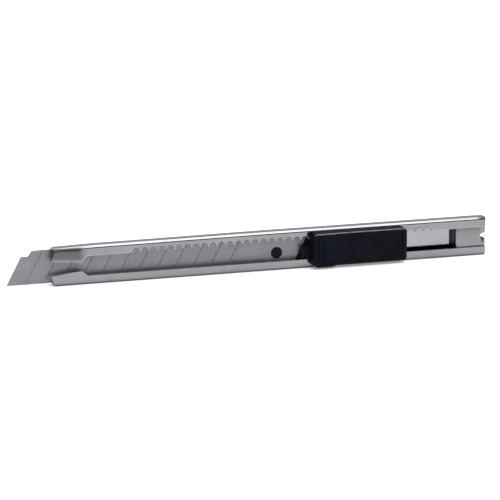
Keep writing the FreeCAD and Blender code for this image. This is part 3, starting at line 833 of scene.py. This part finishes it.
def cap_ring(x, lift):
    """A section of the slide at x; lift runs from 0 at the foot of the upright front to 1 at its crest."""
    into = min(max(CORNER - (x - CAP_FRONT), 0.0), CORNER)
    out = min(max(CORNER - (CAP_REAR - x), 0.0), CORNER)
    pull = CORNER - math.sqrt(CORNER ** 2 - (ROUND_STOP * max(into, out)) ** 2)
    bulge = hump((CREST - 0.6, CREST + 1.5), (BAND_REAR - 1.8, BAND_REAR + 0.6), x)
    low = CAP_BOTTOM - BAND_DROP * bulge + pull
    high = CAP_TOP - pull
    raised = hump((CREST - 1.0, CREST - 0.2), (BAND_REAR - 0.6, BAND_REAR), x)
    face = CAP_FACE - BAND_HEIGHT * raised
    end_round = max(RIM - (CAP_REAR - x), RIM - (x - CAP_FRONT), 0.0)
    face += RIM - math.sqrt(max(RIM * RIM - end_round ** 2, 0.0))
    face = CAP_UNDER + (face - CAP_UNDER) * max(lift, 0.02)
    rim = min(RIM, (CAP_UNDER - face) * 0.9)
    ring = [(x, CAP_UNDER, low), (x, CAP_UNDER, high)]
    ring += [(x, y, z) for z, y in arc((high - rim, face + rim), rim, 0, -90, 5)]
    for z in between(high - rim, low + rim, CAP_ROWS)[1:-1]:
        ring.append((x, face + face_relief(x, z) * lift, z))
    ring += [(x, y, z) for z, y in arc((low + rim, face + rim), rim, -90, -180, 5)]
    return ring


def build_cap():
    stations = [(CAP_FRONT + (CREST - CAP_FRONT) * t, t) for t in between(0, 1, 8)]
    stations += [(x, 1.0) for x in between(CREST, CAP_REAR - RIM, CAP_STATIONS)[1:]]
    stations += [(x, 1.0) for x, y in arc((CAP_REAR - RIM, 0), RIM - 0.002, 80, 0, 6)]
    rings = [cap_ring(x, lift) for x, lift in stations]
    # painted highlight along the top rim from the crest back, and a faint one along the bottom rim
    wear = []
    for ring in rings:
        upper_rim, lower_rim = (4, 5), (len(ring) - 4, len(ring) - 3)
        rim_highlight = smooth_step(CREST, CREST + 0.5, ring[0][0])
        for i in range(len(ring)):
            wear.append(rim_highlight if i in upper_rim else 0.12 if i in lower_rim else 0.0)
    piece = sweep("thumb_slide_cap", rings, wear=wear)
    finish_piece(piece, "thumb_slide", "slider_cap", CAP_PLASTIC, crease=50)


build_cap()


# ---------------------------------------------------------------- blade snapper and pocket clip

STRIP_GAUGE = 0.4
STRIP_LOW, STRIP_HIGH = CLIP_LOW.z, CLIP_HIGH.z
PLATE_FRONT, STRIP_REAR = 52.9, CLIP_HIGH.x
CLIP_LOW_SIDE, CLIP_HIGH_SIDE = 2.35, 8.35
LEG = BACK + 0.05 + STRIP_GAUGE / 2
RAISED = LEG + 1.0
CLIP_TIP, TIP_CORNER, TIP_STOP, TIP_FLARE = 17.0, 1.4, 0.97, 1.1
REAR_JOG, FRONT_JOG = (50.5, 47.0), (24.0, 20.5)
NARROWING = (52.0, 54.5)
FRONT_BEND, REAR_BEND, JOG_BEND = 0.6, 1.8 - STRIP_GAUGE / 2, 1.2
PLATE = FACE + GAUGE + 0.05 + STRIP_GAUGE / 2
NOTCH_LEVEL, NOTCH_HALF, NOTCH_LENGTH = 5.3, 0.78, 1.7


def round_path(corners, count=8):
    """A path through corners in X and Y, each given with the radius of its bend."""
    path = [Vector(corners[0][:2])]
    for before, corner, after in zip(corners, corners[1:], corners[2:]):
        here = Vector(corner[:2])
        arrive = (Vector(before[:2]) - here).normalized()
        leave = (Vector(after[:2]) - here).normalized()
        half = arrive.angle(leave) / 2
        start = here + arrive * corner[2] / math.tan(half)
        end = here + leave * corner[2] / math.tan(half)
        centre = here + (arrive + leave).normalized() * corner[2] / math.sin(half)
        turn = math.pi - 2 * half
        for t in between(0, 1, count):
            from_start = (start - centre) * math.sin((1 - t) * turn)
            from_end = (end - centre) * math.sin(t * turn)
            path.append(centre + (from_start + from_end) / math.sin(turn))
    path.append(Vector(corners[-1][:2]))
    return path


def clip_path():
    """The strip's middle line from the flange, along the plate, round the rear end and along the clip."""
    plate_start, plate_end = PLATE_FRONT + STRIP_GAUGE / 2, STRIP_REAR - STRIP_GAUGE / 2
    corners = [
        (plate_start, WEB - 0.05, 0),
        (plate_start, PLATE, FRONT_BEND),
        (plate_end, PLATE, FRONT_BEND),
        (plate_end, LEG, REAR_BEND),
        (REAR_JOG[0], LEG, JOG_BEND),
        (REAR_JOG[1], RAISED, JOG_BEND),
        (FRONT_JOG[0], RAISED, JOG_BEND),
        (FRONT_JOG[1], LEG, JOG_BEND),
        (CLIP_TIP + 0.1, LEG + TIP_FLARE, 0),
    ]
    longest, step = 2.5, 0.8
    path = []
    for point in round_path(corners):
        if path and (point - path[-1]).length > longest:
            pieces = int((point - path[-1]).length / step)
            path += [path[-1].lerp(point, i / pieces) for i in range(1, pieces)]
        path.append(point)
    return path


def strip_edges(point):
    """Heights of the strip's two edges; the clip is narrower than the plate and round at its tip."""
    low, high = STRIP_LOW, STRIP_HIGH
    if point.y > BACK:
        narrow = 1.0 - smooth_step(*NARROWING, point.x)
        low += (CLIP_LOW_SIDE - low) * narrow
        high += (CLIP_HIGH_SIDE - high) * narrow
        into_tip = max(TIP_CORNER - (point.x - CLIP_TIP), 0.0)
        pull = TIP_CORNER - math.sqrt(TIP_CORNER ** 2 - TIP_STOP * into_tip ** 2)
        low += pull
        high -= pull
    return low, high


def build_clip():
    path = clip_path()
    rings = []
    for i, point in enumerate(path):
        along = (path[min(i + 1, len(path) - 1)] - path[max(i - 1, 0)]).normalized()
        side = Vector((-along.y, along.x)) * STRIP_GAUGE / 2
        low, high = strip_edges(point)
        near, far = point - side, point + side
        rings.append([(near.x, near.y, low), (far.x, far.y, low), (far.x, far.y, high), (near.x, near.y, high)])
    piece = sweep("clip_and_snapper", rings)
    centre = (STRIP_REAR - NOTCH_LENGTH + NOTCH_HALF, NOTCH_LEVEL)
    notch = arc(centre, NOTCH_HALF, 90, 270, 12)
    notch += [(STRIP_REAR + 1, NOTCH_LEVEL - NOTCH_HALF), (STRIP_REAR + 1, NOTCH_LEVEL + NOTCH_HALF)]
    cut(piece, prism("notch", notch, FACE, BACK + 2))
    soften(piece, 0.06, angle=50)
    piece.data.materials.append(CLIP_STEEL)
    piece.data.materials.append(SHADED_STEEL)
    # the flange's inner faces get the dark steel: painted shade
    for face in piece.data.polygons:
        centre = face.center / MM
        if centre.x < PLATE_FRONT + 1.0 and PLATE + 0.5 < centre.y < WEB:
            face.material_index = 1
    finish_piece(piece, "clip", "clip_snapper", CLIP_STEEL)


build_clip()


# ---------------------------------------------------------------- floor, lights and camera

def panel(name, width, height, place, facing, material):
    """A flat panel of the studio that looks towards a point, in metres."""
    mesh = bpy.data.meshes.new(name)
    x, y = width / 2, height / 2
    mesh.from_pydata([(-x, -y, 0), (x, -y, 0), (x, y, 0), (-x, y, 0)], [], [(0, 1, 2, 3)])
    board = bpy.data.objects.new(name, mesh)
    bpy.context.scene.collection.objects.link(board)
    board.location = place
    board.rotation_mode = "QUATERNION"
    board.rotation_quaternion = (Vector(facing) - Vector(place)).to_track_quat("Z", "Y")
    mesh.materials.append(material)


def plain_material(name, colour, rough):
    material, tree, shader = node_material(name)
    shader.inputs["Base Color"].default_value = (*colour, 1.0)
    shader.inputs["Roughness"].default_value = rough
    shader.inputs["Specular IOR Level"].default_value = 0.0
    return material


def softbox(name, place, aim, width, height, power):
    """A rectangular light that looks towards a point, in metres and watts."""
    light = bpy.data.lights.new(name, "AREA")
    light.shape = "RECTANGLE"
    light.size, light.size_y = width, height
    light.energy = power
    lamp = bpy.data.objects.new(name, light)
    bpy.context.scene.collection.objects.link(lamp)
    lamp.location = place
    lamp.rotation_mode = "QUATERNION"
    lamp.rotation_quaternion = (Vector(aim) - Vector(place)).to_track_quat("-Z", "Y")


# the floor glows faintly, like a light table, to keep the shadow weak
light_table = plain_material("pale floor", colour=(0.86, 0.86, 0.86), rough=0.9)
glow = light_table.node_tree.nodes["Principled BSDF"].inputs
glow["Emission Color"].default_value = (1.0, 1.0, 1.0, 1.0)
glow["Emission Strength"].default_value = 0.28
panel("floor", width=6.0, height=6.0, place=(0, 0, 0), facing=(0, 0, 1), material=light_table)

# a card in front of the knife, for dark reflections where the steel leans back
black_card = plain_material("dark card", colour=(0.01, 0.01, 0.01), rough=0.9)
panel("dark_card", width=5.0, height=1.0, place=(0.3, -1.9, 0.5), facing=(0, 0, 0.5), material=black_card)

softbox("overhead", place=(0.2, 0.25, 1.1), aim=(0, 0, 0), width=0.9, height=0.7, power=8.0)
softbox("front bank", place=(0.2, -0.75, 0.95), aim=(0, 0, 0), width=0.9, height=0.9, power=10.4)

world = bpy.data.worlds.new("studio")
world.use_nodes = True
sky = world.node_tree.nodes["Background"].inputs
sky["Color"].default_value = (1.0, 1.0, 1.0, 1.0)
sky["Strength"].default_value = 0.6
bpy.context.scene.world = world
bpy.context.scene.view_settings.view_transform = "Standard"

AZIMUTH, ELEVATION = math.radians(-18.46), math.radians(12.53)
DISTANCE = 783.9
TARGET = Vector((-5.98, 0.0, 5.69))
LENS, SENSOR = 210.7, 36.0

camera = bpy.data.objects.new("camera", bpy.data.cameras.new("camera"))
bpy.context.scene.collection.objects.link(camera)
level = math.cos(ELEVATION)
back = Vector((math.sin(AZIMUTH) * level, -math.cos(AZIMUTH) * level, math.sin(ELEVATION)))
camera.location = (TARGET + back * DISTANCE) * MM
camera.rotation_mode = "QUATERNION"
camera.rotation_quaternion = (-back).to_track_quat("-Z", "Y")
camera.data.lens = LENS
camera.data.sensor_width = SENSOR
camera.data.clip_start = 0.01
bpy.context.scene.camera = camera
